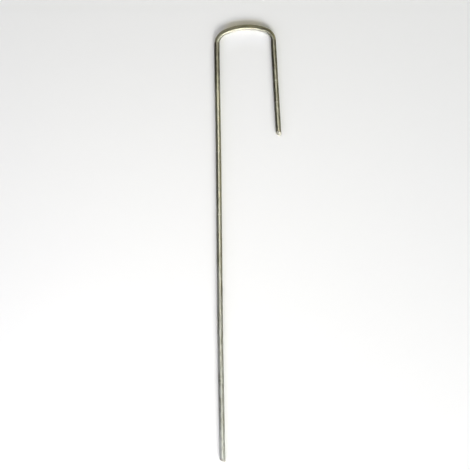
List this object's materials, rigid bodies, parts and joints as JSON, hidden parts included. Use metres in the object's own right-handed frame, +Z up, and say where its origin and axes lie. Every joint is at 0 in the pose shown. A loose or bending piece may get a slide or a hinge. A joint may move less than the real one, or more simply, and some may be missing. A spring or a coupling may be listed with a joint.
{
  "type": "tent stake",
  "caption": "Tent stake of round galvanised steel wire: a long straight shank whose head is bent into a flat-topped hook with a short return leg.",
  "frame": {"origin": "on the shank's axis at the ground line, level with the lowest point of the short leg", "axes": "+Z up the shank from its foot to the hook, +X from the shank towards the short leg, +Y square to the hook's plane"},
  "size_m": [0.0458, 0.0038, 0.3049],
  "materials": {
    "galvanised_wire": "dull zinc coat, drawn along the wire"
  },
  "bodies": {
    "root": {"bent_wire": "galvanised_wire"}
  },
  "joints": []
}
